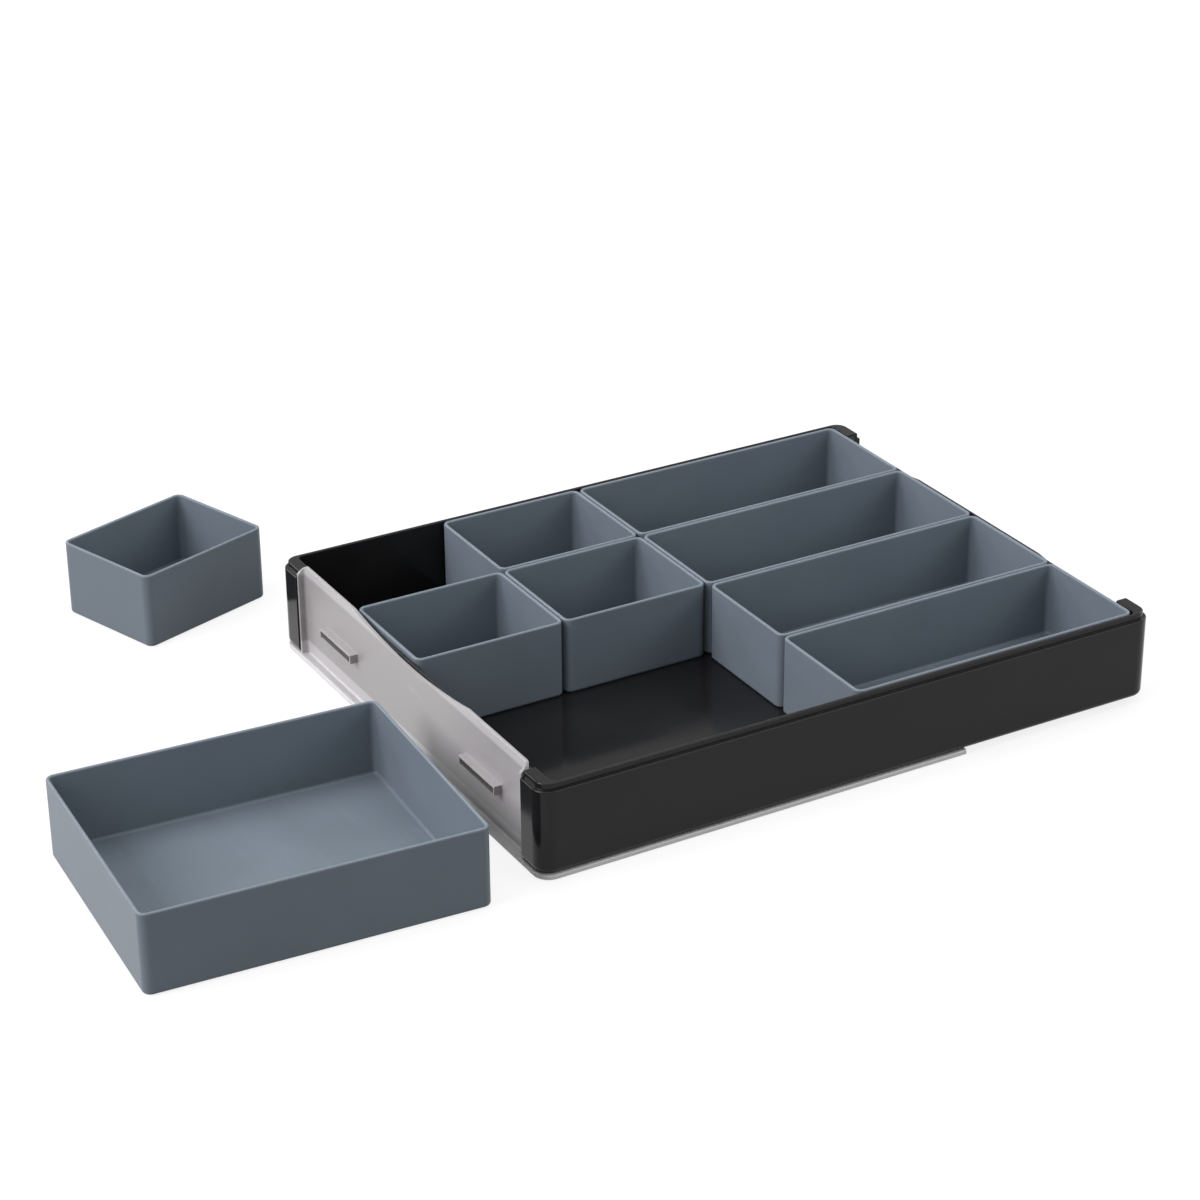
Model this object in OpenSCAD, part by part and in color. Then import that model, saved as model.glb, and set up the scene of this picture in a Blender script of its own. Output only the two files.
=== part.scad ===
/* [Cells] */
// Length of one storage cell, along the organizer
cell_length = 64.8; // [50:0.1:90]
// Width of one storage cell, across the organizer
cell_width = 53.1; // [40:0.1:80]
// Gap between neighbouring trays, and between a tray and a wall
tray_gap = 0.6; // [0.3:0.1:1.5]

/* [Grey trays] */
// Height of every grey tray
tray_height = 32.3; // [20:0.1:45]
// Wall thickness of the grey trays
tray_wall = 1.4; // [1:0.1:2]
// Floor thickness of the grey trays
tray_floor = 1.6; // [1:0.1:3]
// Radius of the upright outside corners
tray_corner = 3.4; // [3:0.1:6]
// Rounding of the outside bottom edge
tray_edge = 1.2; // [0.5:0.1:2]
// Rounding inside, between floor and wall
tray_inside_edge = 1.2; // [0.5:0.1:1.4]

/* [Base tray] */
// Height of the base tray, from its underside to its rim
base_height = 36.5; // [30:0.1:60]
// Thickness of the two long side walls
side_wall = 2.8; // [2.6:0.1:4]
// Thickness of the two end walls
end_wall = 1.5; // [1.4:0.1:3]
// Floor thickness of the base tray
base_floor = 4.2; // [2.6:0.1:6]
// Radius of the upright outside corners
base_corner = 6.5; // [5:0.1:10]
// Radius of the upright corners inside the bay
bay_corner = 2.6; // [2.2:0.1:3.6]
// Rounding of the outside bottom edge
base_edge = 2.4; // [1:0.1:4]
// Rounding inside, between floor and wall
bay_edge = 1; // [0.5:0.1:1.2]
// Height of the stepped-in rim that a cover's skirt drops over
rim_height = 2.6; // [2:0.1:6]
// Depth of the step at the rim
rim_depth = 1.4; // [1.2:0.1:1.6]
// Rounding along the top of the rim and the edge of the step
rim_round = 0.5; // [0.2:0.1:0.6]

/* [Ends] */
// Width of each corner post beside the end recess
post_width = 15; // [12:0.5:30]
// How far the end walls stop below the rim
end_drop = 2; // [1.4:0.1:6]
// Radius where the end wall's top meets the posts
end_drop_corner = 1.2; // [0.6:0.1:1.3]
// Length of the flat top of the raised grip on each end wall
grip_length = 84; // [40:1:120]
// Length of the slope at each end of the grip
grip_run = 6; // [4:1:12]
// Height of the grip above the end wall
grip_height = 0.8; // [0.6:0.1:1.6]
// Thickness of the grip
grip_wall = 0.9; // [0.6:0.1:1.4]

/* [Snap tabs] */
// Length of each snap tab
tab_length = 25.6; // [15:0.1:35]
// Thickness of each snap tab
tab_thickness = 2.2; // [1.6:0.1:4]
// How far a tab stands out past the flap
tab_reach = 3.3; // [2:0.1:5]
// How far a tab's nose stays inside the faces of the posts
tab_setback = 0.2; // [0.1:0.1:2]
// Distance between the centres of the two tabs of one end
tab_spacing = 119.5; // [90:0.5:140]
// Height of the tabs' centres above the base tray's underside
tab_level = 17.7; // [10:0.1:24]
// Rounding of a tab's nose
tab_round = 0.3; // [0.2:0.1:0.8]

/* [Cover] */
// Length of the cover's sheet, from the flap's end
cover_length = 185.5; // [120:0.5:240]
// Thickness of the cover's sheet, which lifts the base tray off the table
cover_sheet = 2.2; // [1.6:0.1:4]
// Rounding along the upper edge of the sheet
cover_upper_edge = 0.8; // [0.3:0.1:1]
// Rounding along the lower edge of the sheet
cover_lower_edge = 0.4; // [0.2:0.1:0.5]

/* [Flap] */
// Thickness of the flap
flap_thickness = 1.2; // [1:0.1:2]
// Clearance between the flap and the walls of the recess
flap_gap = 0.3; // [0.1:0.05:0.4]
// Inside radius where the flap turns into its side returns
flap_bend = 0.8; // [0.5:0.1:2.4]
// How far the side returns stop short of the faces of the posts
return_setback = 0.6; // [0.3:0.1:1.5]
// How far the side returns' upper corners are cut off, at 45 degrees
return_cut = 3.4; // [1:0.1:3.8]
// Radius of the flap's two upper corners
flap_corner = 3; // [1:0.1:6]
// Rounding where the panel rises from the sheet
flap_foot = 1; // [0.5:0.1:2.6]
// How far that rounding stops short of each bend
foot_setback = 0.6; // [0.3:0.1:2]
// How far the flap's top stands above the rim
flap_rise = 2.3; // [1:0.1:5]
// Depth of the finger scoop in the flap's top edge
scoop_depth = 4.2; // [2:0.1:6]
// Length of the finger scoop along the flap's top edge
scoop_length = 96; // [60:1:140]
// Clearance round a snap tab in its slot
slot_gap = 0.3; // [0.2:0.1:0.6]
// Wall of the hood over each slot
hood_wall = 0.8; // [0.5:0.1:2]

/* [Trays that stand beside the organizer] */
// Clear distance from the base tray's end to the card tray
card_tray_gap = 15; // [5:1:60]
// Shift of the card tray's centre across the organizer
card_tray_shift = -56.7; // [-80:0.1:80]
// Turn of the card tray, in degrees
card_tray_turn = -3.7; // [-20:0.1:20]
// Clear distance from the base tray's back to the small tray
small_tray_gap = 23.7; // [5:0.1:60]
// How far the small tray's centre stands past the base tray's end
small_tray_shift = 27; // [-40:1:60]
// Turn of the small tray, in degrees
small_tray_turn = 18.5; // [-40:0.5:40]

/* [Hidden] */
$fn = 64;

// Spare length by which a cut runs past the solid that it cuts
past = 1;

// Cells along and across the base tray
columns = 4;
rows = 4;

small_length = cell_length - tray_gap;
long_length = 2 * cell_length - tray_gap;
small_width = cell_width - tray_gap;
card_width = 2 * cell_width - tray_gap;

bay_length = columns * cell_length + tray_gap;
bay_width = rows * cell_width + tray_gap;
recess_depth = flap_gap + flap_thickness + tab_reach + tab_setback;
base_length = bay_length + 2 * (end_wall + recess_depth);
base_width = bay_width + 2 * side_wall;
recess_width = base_width - 2 * post_width;
recess_corner = flap_bend + flap_thickness + flap_gap;
bay_level = cover_sheet + base_floor;

flap_width = recess_width - 2 * flap_gap;
flap_back = recess_depth - flap_gap;
flap_face = flap_back - flap_thickness;
flap_top = cover_sheet + base_height + flap_rise;
tab_height = cover_sheet + tab_level;
slot_length = tab_length + 2 * slot_gap;
slot_height = tab_thickness + 2 * slot_gap;

// Half the room that a turned tray takes along x or y, with its rounded corners
function reach_x(length, width, turn) =
    (length / 2 - tray_corner) * abs(cos(turn)) + (width / 2 - tray_corner) * abs(sin(turn)) + tray_corner;
function reach_y(length, width, turn) =
    (length / 2 - tray_corner) * abs(sin(turn)) + (width / 2 - tray_corner) * abs(cos(turn)) + tray_corner;

// Centres of the two standing trays, from the base tray's centre
card_reach_x = reach_x(long_length, card_width, card_tray_turn);
card_at = [-base_length / 2 - card_tray_gap - card_reach_x, card_tray_shift];
small_reach_y = reach_y(small_length, small_width, small_tray_turn);
small_at = [-base_length / 2 - small_tray_shift, base_width / 2 + small_tray_gap + small_reach_y];

// The origin is on the table, in the middle of the whole set's footprint
footprint_left = card_at[0] - card_reach_x;
footprint_right = base_length / 2;
footprint_front = min(-base_width / 2, card_at[1] - reach_y(long_length, card_width, card_tray_turn));
footprint_back = small_at[1] + small_reach_y;
base_at = [-(footprint_left + footprint_right) / 2, -(footprint_front + footprint_back) / 2, 0];

// Column and row of each small tray that sits in the base tray
small_seats = [[1, 3], [0, 2], [1, 2]];

// Centre of a cell on the base tray's floor, by column and row
function cell_at(column, row) = base_at + [
    (column - (columns - 1) / 2) * cell_length,
    (row - (rows - 1) / 2) * cell_width,
    bay_level
];

// The children's outline carried once round a rounded rectangle; its x starts at a corner's centre
module round_trip(length, width, corner) {
    runs = [width - 2 * corner, length - 2 * corner];
    for (side = [0 : 3]) {
        along = runs[side % 2];
        out = runs[(side + 1) % 2] / 2;
        rotate(90 * side) {
            translate([out, 0, 0]) rotate([90, 0, 0]) linear_extrude(along, center = true) children();
            translate([out, along / 2, 0]) rotate_extrude(angle = 90) children();
        }
    }
}

// The block inside a round trip, between two heights
module middle(length, width, corner, low, high) {
    translate([corner - length / 2, corner - width / 2, low])
        cube([length - 2 * corner, width - 2 * corner, high - low]);
}

// The children's outline, drawn in the y-z plane and carried along x
module along_x(start, length) {
    translate([start, 0, 0]) rotate([90, 0, 90]) linear_extrude(length) children();
}

// The children's outline, drawn in the x-z plane and carried along y, half to each side
module along_y(length) {
    rotate([90, 0, 0]) linear_extrude(length, center = true) children();
}

// What a rounding cuts off an upper right corner at the origin
module edge_waste(radius) {
    difference() {
        translate([-radius, -radius]) square(radius + past);
        translate([-radius, -radius]) circle(radius);
    }
}

// What a fillet adds in a corner between the x and y axes
module fillet_web(radius) {
    difference() {
        square(radius);
        translate([radius, radius]) circle(radius);
    }
}

// A pocket with its mouth towards +x and its two inner corners rounded
module notch(depth, width, corner) {
    translate([corner - depth, -width / 2]) square([depth - corner + past, width]);
    translate([-depth, corner - width / 2]) square([corner, width - 2 * corner]);
    for (side = [-1, 1])
        translate([corner - depth, side * (width / 2 - corner)]) circle(corner);
}

// Wall of a grey tray: full-round rim, rounded outside edge, fillet on the floor
module tray_profile() {
    inside = tray_corner - tray_wall;
    difference() {
        union() {
            square([tray_corner, tray_floor]);
            translate([inside, 0]) square([tray_wall, tray_height - tray_wall / 2]);
            translate([inside + tray_wall / 2, tray_height - tray_wall / 2]) circle(d = tray_wall);
            translate([inside, tray_floor]) mirror([1, 0]) fillet_web(tray_inside_edge);
        }
        translate([tray_corner, 0]) mirror([0, 1]) edge_waste(tray_edge);
    }
}

// Open grey tray on its own floor, centred on the origin
module grey_tray(length, width) {
    color("slategray") {
        round_trip(length, width, tray_corner) tray_profile();
        middle(length, width, tray_corner, 0, tray_floor);
    }
}

// Outside of the base tray: rounded bottom edge, and a rim that steps in
module base_profile() {
    step = base_height - rim_height;
    difference() {
        square([base_corner, base_height]);
        translate([base_corner, 0]) mirror([0, 1]) edge_waste(base_edge);
        translate([base_corner - rim_depth, step]) square([rim_depth + past, rim_height + past]);
        translate([base_corner - rim_depth, base_height]) edge_waste(rim_round);
        translate([base_corner, step]) edge_waste(rim_round);
    }
}

// Inside of the base tray: fillet on the floor, and a rounded inner edge at the rim
module bay_profile() {
    difference() {
        translate([0, base_floor]) square([bay_corner, base_height - base_floor + past]);
        translate([bay_corner, base_floor]) mirror([0, 1]) edge_waste(bay_edge);
    }
    translate([bay_corner, base_height - rim_round]) difference() {
        square([rim_round, rim_round + past]);
        translate([rim_round, 0]) circle(rim_round);
    }
}

// Puts the children at both ends of the base tray, with +x pointing out of the end
module both_ends() {
    for (turn = [0, 180])
        rotate(turn) translate([base_length / 2, 0, 0]) children();
}

// Puts the children at the centres of one end's two snap tabs
module both_tabs() {
    for (side = [-1, 1])
        translate([0, side * tab_spacing / 2, 0]) children();
}

// Snap tab: a flat tongue with a rounded nose, rooted in the end wall
module tab_profile() {
    reach = flap_gap + flap_thickness + tab_reach;
    difference() {
        translate([-end_wall / 2, -tab_thickness / 2]) square([end_wall / 2 + reach, tab_thickness]);
        for (way = [0, 1])
            mirror([0, way]) translate([reach, tab_thickness / 2]) edge_waste(tab_round);
    }
}

// Grip: a thin raised stretch on the end wall's outer edge, rooted a little way into it
module grip_profile() {
    root = grip_height / 4;
    flat = grip_length / 2;
    end = flat + grip_run;
    polygon([[-end, -root], [end, -root], [end, 0], [flat, grip_height], [-flat, grip_height], [-end, 0]]);
}

// Black tray that holds the grey trays
module base_tray() {
    end_top = base_height - end_drop;
    color([0.13, 0.13, 0.14])
        translate(base_at + [0, 0, cover_sheet]) {
            difference() {
                union() {
                    round_trip(base_length, base_width, base_corner) base_profile();
                    middle(base_length, base_width, base_corner, 0, base_height);
                }
                round_trip(bay_length, bay_width, bay_corner) bay_profile();
                middle(bay_length, bay_width, bay_corner, base_floor, base_height + past);
                both_ends() {
                    translate([0, 0, -past]) linear_extrude(base_height + 2 * past)
                        notch(recess_depth, recess_width, recess_corner);
                    along_x(-recess_depth - end_wall - past, recess_depth + end_wall + 2 * past)
                        translate([0, base_height]) rotate(90)
                            notch(end_drop, recess_width, end_drop_corner);
                }
            }
            both_ends() {
                along_x(-recess_depth - grip_wall, grip_wall) translate([0, end_top]) grip_profile();
                translate([-recess_depth, 0, tab_level]) both_tabs() along_y(tab_length) tab_profile();
            }
        }
}

// Edge of the cover's sheet, rounded above and below
module cover_profile() {
    difference() {
        square([base_corner, cover_sheet]);
        translate([base_corner, cover_sheet]) edge_waste(cover_upper_edge);
        translate([base_corner, 0]) mirror([0, 1]) edge_waste(cover_lower_edge);
    }
}

// Flat sheet, rounded on three sides and cut straight at the far end; x starts at the flap's end
module flat_sheet() {
    run = cover_length - base_corner;
    across = base_width - 2 * base_corner;
    translate([base_corner, 0, 0]) rotate(180) along_y(across) cover_profile();
    for (side = [0, 1])
        mirror([0, side, 0]) translate([base_corner, across / 2, 0]) rotate(90) {
            rotate_extrude(angle = 90) cover_profile();
            translate([0, -run / 2, 0]) along_y(run) cover_profile();
        }
    translate([base_corner, -across / 2, 0]) cube([run, across, cover_sheet]);
}

// Flap in plan: a panel at the back of the recess, bent round into a return at each side
module flap_plan() {
    mirror([1, 0]) difference() {
        intersection() {
            notch(flap_back, flap_width, flap_bend + flap_thickness);
            translate([-flap_back, -flap_width / 2]) square([flap_back - return_setback, flap_width]);
        }
        notch(flap_face, flap_width - 2 * flap_thickness, flap_bend);
    }
}

// Finger scoop: one shallow arc through the flap's top edge, which is its zero height
module scoop_profile() {
    half = scoop_length / 2;
    radius = (half * half + scoop_depth * scoop_depth) / (2 * scoop_depth);
    translate([0, radius - scoop_depth]) circle(radius);
}

// Hood over a snap tab: closed above and at both ends, open in front and below
module hood() {
    outside = slot_length + 2 * hood_wall;
    difference() {
        translate([0, -outside / 2, -slot_height / 2])
            cube([tab_reach + flap_thickness / 2, outside, slot_height + hood_wall]);
        translate([-past, -slot_length / 2, -slot_height / 2 - past])
            cube([tab_reach + flap_thickness + past, slot_length, slot_height + past]);
    }
}

// Upright flap with its finger scoop, its slots for the snap tabs and a hood over each slot
module flap() {
    foot = cover_sheet / 2;
    foot_width = flap_width - 2 * (flap_thickness + flap_bend + foot_setback);
    difference() {
        translate([0, 0, foot]) linear_extrude(flap_top - foot) flap_plan();
        translate([0, 0, flap_top]) along_x(-past, flap_back + 2 * past) scoop_profile();
        translate([return_setback, 0, flap_top]) along_y(base_width)
            polygon([[-past, past], [-past, -return_cut - past], [return_cut + past, past]]);
        for (side = [0, 1])
            mirror([0, side, 0]) along_x(-past, flap_back + 2 * past)
                translate([flap_width / 2, flap_top]) edge_waste(flap_corner);
        both_tabs() translate([flap_face - past, -slot_length / 2, tab_height - slot_height / 2])
            cube([flap_thickness + 2 * past, slot_length, slot_height]);
    }
    translate([flap_face, 0, cover_sheet]) along_y(foot_width) mirror([1, 0]) fillet_web(flap_foot);
    translate([flap_face - tab_reach, 0, tab_height]) both_tabs() hood();
}

// Frosted cover under the base tray
module cover() {
    color([0.8, 0.8, 0.82])
        translate(base_at - [base_length / 2, 0, 0]) {
            flat_sheet();
            flap();
        }
}

// Small tray in its own cell
module small_tray(seat) {
    translate(cell_at(seat[0], seat[1])) grey_tray(small_length, small_width);
}

// Small tray that stands behind the base tray
module standing_small_tray() {
    translate(base_at + [small_at[0], small_at[1], 0]) rotate(small_tray_turn)
        grey_tray(small_length, small_width);
}

// Long tray across the two right-hand columns
module long_tray(row) {
    translate(cell_at(columns - 3 / 2, row)) grey_tray(long_length, small_width);
}

// Card tray that stands beside the base tray
module card_tray() {
    translate(base_at + [card_at[0], card_at[1], 0]) rotate(card_tray_turn)
        grey_tray(long_length, card_width);
}

cover();
base_tray();
for (seat = [0 : len(small_seats) - 1])
    small_tray(small_seats[seat]);
standing_small_tray();  // small_tray_4
for (row = [0 : rows - 1])
    long_tray(row);
card_tray();
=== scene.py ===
# %% [markdown]
# # A box insert organizer
# The object is a black base tray that holds grey lift-out trays. It sits on a frosted
# cover whose flap stands up at one end. Every shape comes from the CAD model, so this
# lesson is about finishes, light and the camera: how to make three kinds of moulded
# plastic look different with nothing but nodes.

# %% Load the frame
import math

import bpy
from mathutils import Matrix, Vector


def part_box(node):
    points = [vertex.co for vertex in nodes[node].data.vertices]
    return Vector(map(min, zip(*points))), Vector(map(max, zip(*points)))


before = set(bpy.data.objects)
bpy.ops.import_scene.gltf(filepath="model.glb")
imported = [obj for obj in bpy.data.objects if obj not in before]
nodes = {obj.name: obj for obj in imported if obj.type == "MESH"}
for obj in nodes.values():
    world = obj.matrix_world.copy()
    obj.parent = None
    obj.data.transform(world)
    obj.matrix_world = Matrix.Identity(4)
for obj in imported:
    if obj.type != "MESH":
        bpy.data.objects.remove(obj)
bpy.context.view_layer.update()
scene = bpy.context.scene


print("nodes:", ", ".join(sorted(nodes)))

# %% [markdown]
# ## Shader maths as plain Python
# A node tree is a formula drawn as boxes. Drawing each box by hand hides the formula, so
# a small class wraps a socket and gives it the usual operators: an expression such as
# `1 - mask * 0.2` then adds its own Math nodes.

# %% A socket that can be added, subtracted and scaled
class Wire:
    def __init__(self, tree, socket):
        self.tree = tree
        self.socket = socket

    def maths(self, operation, first, second):
        node = self.tree.nodes.new("ShaderNodeMath")
        node.operation = operation
        for socket, value in zip(node.inputs, (first, second)):
            plug(self.tree, socket, value)
        return Wire(self.tree, node.outputs[0])

    def __add__(self, other):
        return self.maths("ADD", self, other)

    def __radd__(self, other):
        return self.maths("ADD", other, self)

    def __sub__(self, other):
        return self.maths("SUBTRACT", self, other)

    def __rsub__(self, other):
        return self.maths("SUBTRACT", other, self)

    def __mul__(self, other):
        return self.maths("MULTIPLY", self, other)

    def __rmul__(self, other):
        return self.maths("MULTIPLY", other, self)


def plug(tree, socket, value):
    if isinstance(value, Wire):
        tree.links.new(value.socket, socket)
    else:
        socket.default_value = value


print("shader maths ready:", Wire.__name__)

# %% [markdown]
# ## What a finish is made of
# A finish is one material with a Principled shader. Every node that is not maths comes
# from one method, which sets the node's settings first and its sockets after that,
# because a setting can change which sockets a node has. The patterns are noise in object
# space, which has no seams, and masks by height, by edge or by the kind of ray that looks.
#
# Moulded edges are never razor sharp, but CAD edges are, and they look cut from paper. A
# Bevel modifier would round them and change the mesh. The Bevel node only bends the
# normal near an edge, so the mesh stays as it is, and where the bent normal and the true
# one disagree there must be an edge: that gives a mask for rubbed edges as well.

# %% A finish: one material and the patterns it can use
class Finish:
    def __init__(self, name):
        self.material = bpy.data.materials.new(name)
        self.material.use_nodes = True
        self.tree = self.material.node_tree
        self.shader = self.tree.nodes["Principled BSDF"]

    def add(self, kind, settings=None, sockets=None, output=0):
        node = self.tree.nodes.new("ShaderNode" + kind)
        for name, value in (settings or {}).items():
            setattr(node, name, value)
        for name, value in (sockets or {}).items():
            plug(self.tree, node.inputs[name], value)
        return Wire(self.tree, node.outputs[output])

    def ray(self, kind):
        return self.add("LightPath", output=f"Is {kind} Ray")

    def normal(self):
        return self.add("NewGeometry", output="Normal")

    def noise(self, size_mm, detail=2.0, stretch=(1, 1, 1)):
        where = self.add("TexCoord", output="Object")
        where = self.add("Mapping", sockets={"Vector": where, "Scale": stretch})
        return self.add("TexNoise", sockets={"Vector": where, "Scale": 1000 / size_mm, "Detail": detail})

    def height(self):
        where = self.add("TexCoord", output="Generated")
        return self.add("SeparateXYZ", sockets={"Vector": where}, output="Z")

    def facing_up(self):
        return self.add("SeparateXYZ", sockets={"Vector": self.normal()}, output="Z")

    def step(self, value, low, high):
        return self.add("MapRange", {"interpolation_type": "SMOOTHSTEP"},
                        {"Value": value, "From Min": low, "From Max": high})

    def tint(self, factor, first, second):
        # A Mix node has one set of sockets for each data type. These are the colour ones.
        return self.add("Mix", {"data_type": "RGBA"}, {0: factor, 6: first, 7: second}, output=2)

    def relief(self, height, depth_mm, under):
        return self.add("Bump", sockets={"Height": height, "Strength": 1.0,
                                         "Distance": depth_mm / 1000, "Normal": under})

    def soft_edge(self, radius_mm):
        return self.add("Bevel", {"samples": 6}, {"Radius": radius_mm / 1000})

    def at_edges(self, softened):
        agree = self.add("VectorMath", {"operation": "DOT_PRODUCT"},
                         {0: softened, 1: self.normal()}, output="Value")
        return self.step(1 - agree, 0.01, 0.12)

    def set(self, **sockets):
        for name, value in sockets.items():
            plug(self.tree, self.shader.inputs[name.replace("_", " ")], value)


def linear(*srgb):
    return tuple(((c / 255 + 0.055) / 1.055) ** 2.4 for c in srgb) + (1.0,)


print("finish helper ready:", Finish.__name__)

# %% [markdown]
# ## Slate grey plastic of the lift-out trays
# The trays are moulded in a satin plastic. Close up it has a very fine grain from the
# mould, soft clouds where the melt flowed, and rubbed places where trays slide past each
# other: along the rims and on the floors. A picture could show that, but it would smear
# over the rounded corners, so it is all noise. The rims are rounded in the CAD already and
# need no soft edge. All along the rims the colour is also a little paler: that is a painted
# highlight, where the rounded rim catches light from above.

# %% Slate grey satin
def slate_satin():
    finish = Finish("slate_satin")
    clouds = finish.noise(26, detail=3)
    grain = finish.noise(0.45, detail=1)
    rubs = finish.step(finish.noise(2.4, detail=3, stretch=(1, 0.08, 0.5)), 0.56, 0.74)
    up = finish.height()
    # Rim band: it feeds real wear through worn, and on its own a painted highlight.
    rim = finish.step(up, 0.955, 1.0)
    bottom = 1 - finish.step(up, 0.05, 0.09)
    worn = (rim + bottom * 0.6) * rubs
    flow = finish.relief(clouds, 0.04, finish.normal())
    body = finish.tint(clouds, linear(94, 104, 113), linear(103, 113, 122))
    # Paler slate: rim * 0.08 is a painted highlight on every rim, worn is real rubbed wear, grain varies
    # at random.
    body = finish.tint(rim * 0.08 + worn * 0.12 + (grain - 0.5) * 0.1, body, linear(146, 153, 162))
    finish.set(Base_Color=body,
               Roughness=0.4 + (clouds - 0.5) * 0.14 + worn * 0.1 + (grain - 0.5) * 0.06,
               Normal=finish.relief(grain, 0.03, flow),
               IOR=1.5, Specular_IOR_Level=0.25)
    return finish.material


slate = slate_satin()
print("made", slate.name, "with", len(slate.node_tree.nodes), "nodes")

# %% [markdown]
# ## Black gloss plastic of the base tray
# The base is polished on the inside, so its floor mirrors the walls, softly. Real gloss
# is never even: it has a faint ripple called orange peel, finger smudges, hairline
# scratches from the trays and edges that have been rubbed. The ripple goes into the
# normal and most of the rest into roughness, because on black plastic a scratch shows
# only in what it reflects. The rubbed edges turn a little greyer too.

# %% Black gloss
def black_gloss():
    finish = Finish("black_gloss")
    smudges = finish.step(finish.noise(34, detail=4), 0.45, 0.75)
    ripple = finish.noise(3.2, detail=1)
    hairlines = finish.step(finish.noise(1.6, detail=4, stretch=(0.05, 1, 1)), 0.62, 0.72)
    crossing = finish.step(finish.noise(1.6, detail=4, stretch=(1, 0.05, 1)), 0.64, 0.74)
    dust = finish.step(finish.noise(0.9, detail=2), 0.7, 0.82)
    softened = finish.soft_edge(0.3)
    rubbed = finish.at_edges(softened) * finish.step(finish.noise(5, detail=3), 0.35, 0.65)
    body = finish.tint(smudges * 0.5 + dust * 0.3, linear(23, 23, 24), linear(30, 30, 31))
    body = finish.tint(rubbed * 0.4, body, linear(66, 66, 69))
    finish.set(Base_Color=body,
               Roughness=0.12 + smudges * 0.07 + (hairlines + crossing) * 0.05 + rubbed * 0.08,
               Normal=finish.relief(ripple, 0.012, softened),
               IOR=1.5, Specular_IOR_Level=0.22)
    return finish.material


black = black_gloss()
print("made", black.name, "with", len(black.node_tree.nodes), "nodes")

# %% [markdown]
# ## Frosted plastic of the cover
# The cover is pale and slightly see-through, so what is close behind it shows. Behind
# most of the flap stands the black end wall of the base, and there the plastic looks
# greyer. Near the table, and above the top of that wall, it looks paler again. A real
# see-through shader would be noisy and would not export, so these three bands are mixed
# by height, and the grey band is painted shade. The flat sheet lets light through to the
# table and is a little darker than its rim, which collects light, so the way a face points
# is mixed in too: the paler rim is painted light. The flap's upper edge faces the lamp
# overhead and is toned down with painted shade. The edges of the hoods get a painted
# highlight, as edges of clear plastic catch light, and a fine speckle stands for the frosting.

# %% Frosted plastic
def frosted_sheet():
    finish = Finish("frosted_sheet")
    clouds = finish.noise(30, detail=3)
    frost = finish.noise(0.35, detail=2)
    rubs = finish.step(finish.noise(2.0, detail=4, stretch=(1, 0.06, 0.3)), 0.6, 0.74)
    softened = finish.soft_edge(0.3)
    up = finish.height()
    facing = finish.facing_up()

    on_flap = finish.step(up, 0.05, 0.06)
    # Band in front of the black end wall: painted shade there, as less light comes back through the
    # plastic.
    wall_behind_shade = finish.step(up, 0.175, 0.2) * (1 - finish.step(up, 0.89, 0.93))
    # Upper edge of the flap where it faces up: painted shade that tones down the lamp overhead.
    upper_edge_shade = finish.step(up, 0.86, 0.88) * finish.step(facing, 0.1, 0.45)
    on_hoods = finish.step(up, 0.2, 0.25) * (1 - finish.step(up, 0.84, 0.86))
    # Edges of the hoods: a painted highlight.
    hood_edge_highlight = finish.at_edges(softened) * on_hoods

    # Pale colour for the sheet's rim: painted light, as the rim collects light.
    rim = finish.tint(clouds, linear(201, 200, 201), linear(211, 210, 211))
    flat = finish.tint(clouds, linear(152, 151, 152), linear(161, 160, 161))
    # Greyer colour for that band: painted shade from the black wall behind.
    backed_shade = finish.tint(clouds, linear(142, 140, 141), linear(151, 149, 150))
    # Faces that point sideways get the rim's painted light, faces that point up the darker flat colour.
    sheet = finish.tint(finish.step(facing, 0.3, 0.8), rim, flat)
    # Panel: a share of the rim's painted light where no wall stands behind, painted shade where it does.
    panel = finish.tint(wall_behind_shade, finish.tint(0.35, flat, rim), backed_shade)
    # Painted shade on the flap's upper edge.
    panel = finish.tint(upper_edge_shade, panel, linear(134, 133, 134))
    body = finish.tint(on_flap, sheet, panel)
    # Paler: rubs are real wear, the hood edges a painted highlight, frost a random speckle.
    body = finish.tint(rubs * 0.12 + hood_edge_highlight * 0.3 + (frost - 0.5) * 0.12, body, linear(220, 219, 221))
    finish.set(Base_Color=body,
               Roughness=0.36 + (clouds - 0.5) * 0.12 + rubs * 0.12,
               Normal=finish.relief(frost, 0.02, softened),
               IOR=1.49, Subsurface_Weight=0.12, Subsurface_Radius=(1.0, 1.0, 1.0),
               Subsurface_Scale=0.002)
    return finish.material


frosted = frosted_sheet()
print("made", frosted.name, "with", len(frosted.node_tree.nodes), "nodes")

# %% [markdown]
# ## Dressing the solids
# Each CAD object gets its finish in its material slot. The mesh itself stays as it is.

# %% Give every node its finish
for name, thing in sorted(nodes.items()):
    finish = frosted if name == "cover" else black if name == "base_tray" else slate
    thing.data.materials.clear()
    thing.data.materials.append(finish)
    print(name, "->", finish.name)

# %% [markdown]
# ## Floor and backdrop
# The set lies on a plain white table in front of nothing. A white floor under lamps is
# never an even white, so what the camera sees is mostly light of its own, at strength 1,
# which is white. The rest is ordinary diffuse and keeps a faint shadow under the object.
# Far away the floor is all light, so that no grey edge shows. Mirrored rays, and rays that
# look through something clear, see the same white. The light that bounces back up comes
# from a dark floor instead, or it would wash out the shaded fronts.
#
# A low ring far away carries the same white on past the end of the floor, for views from
# near table height. It is hidden from the rays that light the object.

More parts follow.
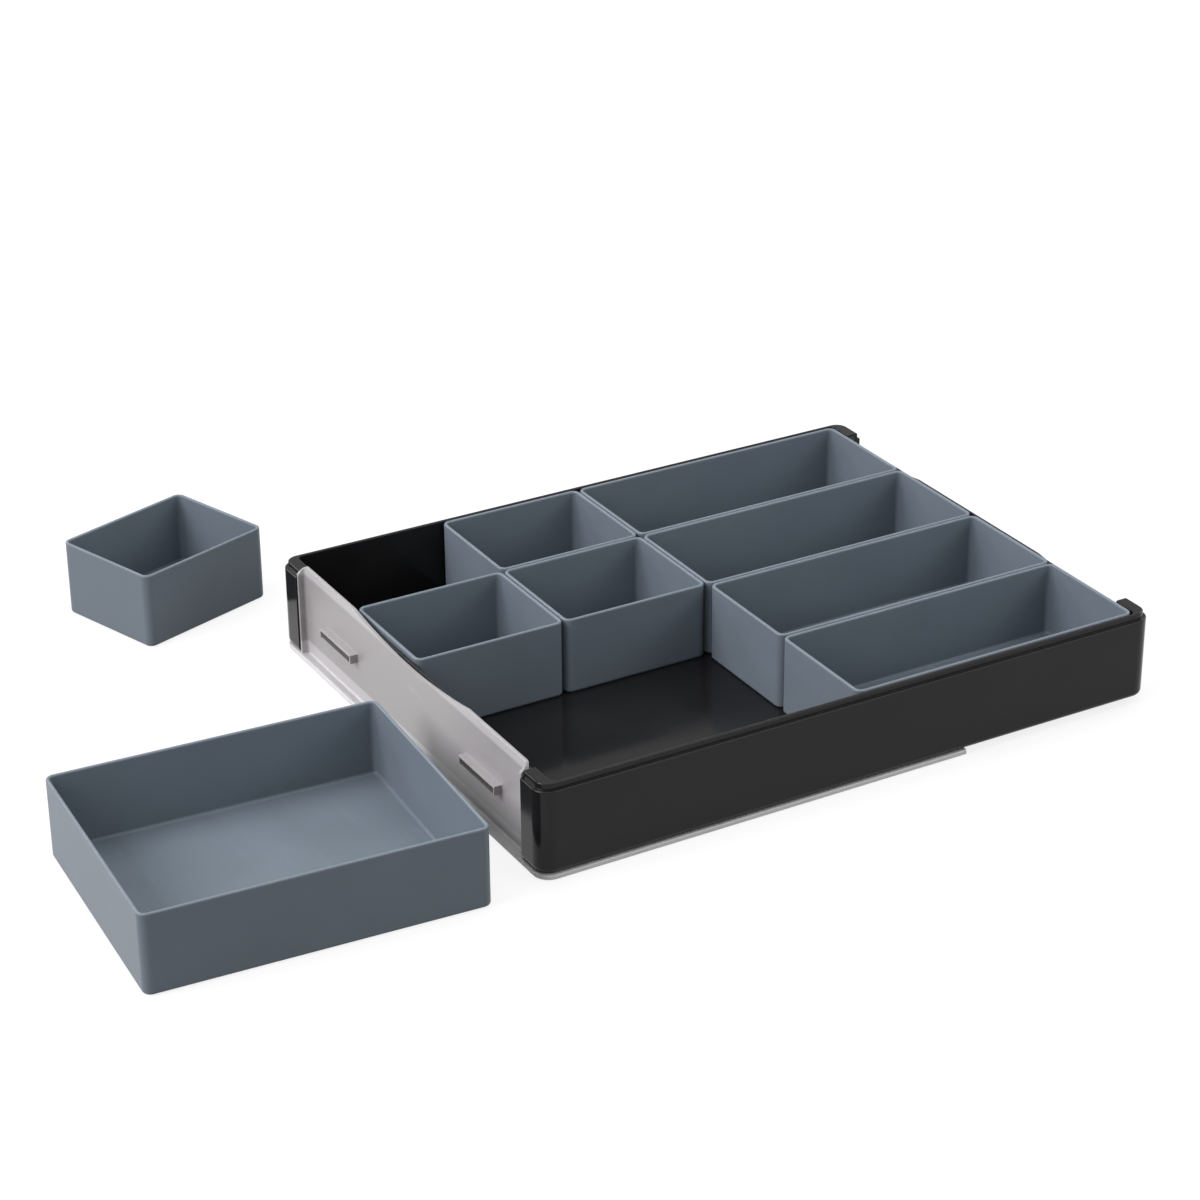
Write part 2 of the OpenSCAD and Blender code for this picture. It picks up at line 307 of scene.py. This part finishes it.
# %% White floor and backdrop
def white_stage():
    finish = Finish("white_stage")
    finish.tree.nodes.remove(finish.shader)
    where = finish.add("TexCoord", output="Object")
    away = finish.add("VectorMath", {"operation": "LENGTH"}, {0: where}, output="Value")
    far = finish.step(away, 0.6, 1.6)
    glow_share = 0.82
    glow = finish.add("Emission", sockets={"Color": (1, 1, 1, 1), "Strength": 1.0})
    white = finish.add("BsdfDiffuse", sockets={"Color": (0.9, 0.9, 0.9, 1)})
    dark = finish.add("BsdfDiffuse", sockets={"Color": (0.08, 0.08, 0.08, 1)})
    table = finish.add("MixShader", sockets={0: glow_share + far * (1 - glow_share), 1: white, 2: glow})
    looking = finish.ray("Camera") + finish.ray("Glossy") + finish.ray("Transmission")
    mixed = finish.add("MixShader", sockets={0: looking, 1: dark, 2: table})
    plug(finish.tree, finish.tree.nodes["Material Output"].inputs["Surface"], mixed)
    return finish.material


reach, ring_height, hair_below = 6, 2, -0.0003
stage_white = white_stage()
bpy.ops.mesh.primitive_plane_add(size=2 * reach, location=(0, 0, hair_below))
floor = bpy.context.object
floor.name = "floor"
bpy.ops.mesh.primitive_cylinder_add(vertices=96, radius=reach, depth=ring_height, end_fill_type="NOTHING",
                                    location=(0, 0, ring_height / 2 + hair_below))
backdrop = bpy.context.object
backdrop.name = "backdrop"
backdrop.visible_diffuse = False
backdrop.visible_shadow = False
for thing in (floor, backdrop):
    thing.data.materials.append(stage_white)
    print(thing.name, "with", stage_white.name)

# %% [markdown]
# ## Surroundings
# Above the backdrop there is only the world, an even grey at a plain level. It fills the
# shadows, and it is what the floor of the bay mirrors where no tray stands behind it.

# %% World
world = bpy.data.worlds.new("studio")
scene.world = world
world.use_nodes = True
background = world.node_tree.nodes["Background"]
plain_level = 0.6
background.inputs["Color"].default_value = (1, 1, 1, 1)
background.inputs["Strength"].default_value = plain_level
print("world at", plain_level)

# %% [markdown]
# ## Light
# In the picture the faces that look left are the brightest and the fronts are two or
# three times darker, so one large soft box stands on the left, slightly pink. A second
# one hangs overhead and lights the floors of the trays. Three weak ones help: one at the
# front right for the shaded fronts, one on the right for the end that the camera does not
# see, and a low one at the back left for the thin bright lines along the rounded rims.

# %% Five soft boxes
def soft_box(name, place, size, power, aim=(0, 0, 0), colour=(1, 1, 1)):
    lamp = bpy.data.lights.new(name, "AREA")
    lamp.shape = "RECTANGLE"
    lamp.size, lamp.size_y = size
    lamp.energy = power
    lamp.color = colour
    thing = bpy.data.objects.new(name, lamp)
    scene.collection.objects.link(thing)
    thing.location = place
    thing.rotation_euler = (Vector(aim) - Vector(place)).to_track_quat("-Z", "Y").to_euler()
    print(name, "at", place, "power", power)


soft_box("left_box", place=(-1.6, 0.1, 1.2), size=(1.2, 1.0), power=41, colour=(1, 0.955, 0.985))
soft_box("top_box", place=(0.1, 0.3, 1.9), size=(2.0, 1.6), power=20)
soft_box("front_box", place=(0.9, -1.1, 0.7), size=(0.8, 0.6), power=4.5, aim=(0.1, 0, 0))
soft_box("right_box", place=(1.8, 0.2, 1.0), size=(1.2, 0.9), power=10)
soft_box("back_box", place=(-0.9, 1.6, 0.95), size=(0.9, 0.5), power=9)

# %% [markdown]
# ## Camera
# The photograph was taken from the front left, from a little above, with a long lens.
# The place was worked out from the outlines of the base tray, so it is given from the
# middle of that tray, and the lens is the photograph's.

# %% Camera at the photograph's place
low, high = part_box("base_tray")
middle = Vector(((low[0] + high[0]) / 2, (low[1] + high[1]) / 2, 0))
eye = middle + Vector((-0.59549, -0.95992, 0.59475))
heading, looking_down, leaning = -29.637, 26.497, -0.48

camera = bpy.data.objects.new("camera", bpy.data.cameras.new("camera"))
scene.collection.objects.link(camera)
camera.data.sensor_width = 36
camera.data.lens = 95.05
turn = Matrix.Rotation(math.radians(heading), 4, "Z")
tilt = Matrix.Rotation(math.radians(90 - looking_down), 4, "X")
roll = Matrix.Rotation(math.radians(leaning), 4, "Z")
camera.matrix_world = Matrix.Translation(eye) @ turn @ tilt @ roll
scene.camera = camera
print("camera at", [round(c, 3) for c in eye])

# %% [markdown]
# ## Colours as written
# The Standard view transform shows a colour as it is written.

# %% View transform and the end
scene.view_settings.view_transform = "Standard"
